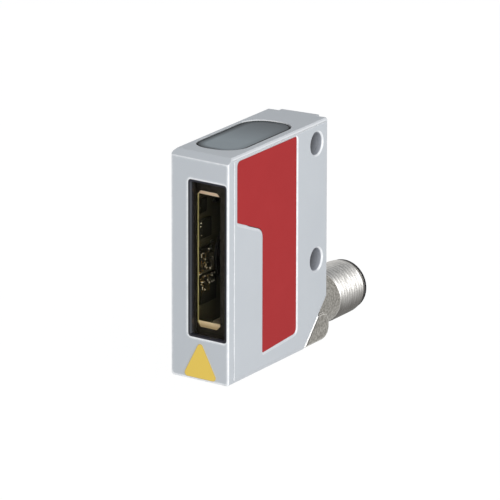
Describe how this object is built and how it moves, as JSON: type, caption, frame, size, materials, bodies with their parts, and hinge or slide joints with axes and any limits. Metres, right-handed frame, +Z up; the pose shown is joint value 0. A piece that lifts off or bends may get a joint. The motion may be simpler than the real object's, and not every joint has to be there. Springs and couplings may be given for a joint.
{
  "type": "barcode positioning sensor",
  "caption": "Slim metal scanner head with a front window, indicator lens on top, labelled side cover and a swivelling round plug; it reads a bar code tape to tell its position along a track.",
  "frame": {"origin": "middle of the housing's base face, half way across its width and half way along its depth", "axes": "-Y out of the scanner window, +X out of the labelled side cover, +Z up towards the indicator lens; the plug points to +Y at rest"},
  "size_m": [0.015, 0.0607, 0.048],
  "materials": {
    "housing_metal": "pale silver-grey satin coat on die-cast metal",
    "seal_rubber": "matt black rubber",
    "label_red": "plain red film",
    "marker_yellow": "plain yellow film",
    "black_plastic": "fine-grained black plastic",
    "window_glass": "polished dark-tinted glass",
    "smoked_plastic": "smooth smoke-grey plastic",
    "board_green": "solder-masked circuit board",
    "led_white": "milky lamp body",
    "chip_black": "moulded black body",
    "bright_steel": "bright turned steel",
    "socket_ivory": "ivory plastic",
    "carrier_metal": "dark bronze coat with bare golden edges",
    "barrel_brass": "turned brass",
    "optical_glass": "polished clear glass",
    "mirror_coat": "polished mirror coat",
    "coil_copper": "enamelled copper wire",
    "magnet_black": "bonded magnet",
    "plug_metal": "nickel-plated die-cast and turned metal",
    "pin_gold": "gold-plated contact"
  },
  "bodies": {
    "sensor": {"housing": "housing_metal", "side_cover": "housing_metal", "cover_gasket": "seal_rubber", "side_label": "label_red", "front_marker": "marker_yellow", "window_frame": "black_plastic", "window_pane": "window_glass", "indicator_lens": "smoked_plastic", "indicator_board": "board_green", "indicator_leds": "led_white", "main_board": "board_green", "board_chips": "chip_black", "board_screws": "bright_steel", "wire_socket": "socket_ivory", "optics_carrier": "carrier_metal", "laser_barrel": "barrel_brass", "laser_diode": "bright_steel", "collimator_lens": "optical_glass", "collecting_mirror": "mirror_coat", "receiver_lens": "optical_glass", "receiver_board": "board_green", "photodiode": "chip_black", "motor_base": "bright_steel", "motor_coils": "coil_copper", "shaft_bearing": "barrel_brass"},
    "mirror_rotor": {"motor_shaft": "bright_steel", "rotor_cup": "bright_steel", "rotor_magnet": "magnet_black", "mirror_wheel": "mirror_coat"},
    "plug": {"swivel_foot": "plug_metal", "swivel_seal": "seal_rubber", "retaining_ring": "bright_steel", "thread_sleeve": "plug_metal", "contact_insert": "black_plastic", "contact_pins": "pin_gold"}
  },
  "joints": [
    {"name": "plug_swivel", "type": "hinge", "parent": "sensor", "child": "plug", "pos_m": [0, 0.01525, 0.0049], "axis": [0, 0.7071, -0.7071], "range_deg": [0, 180]},
    {"name": "wheel_spin", "type": "hinge", "parent": "sensor", "child": "mirror_rotor", "pos_m": [0, 0.00085, 0.022], "axis": [1, 0, 0], "continuous": true}
  ]
}
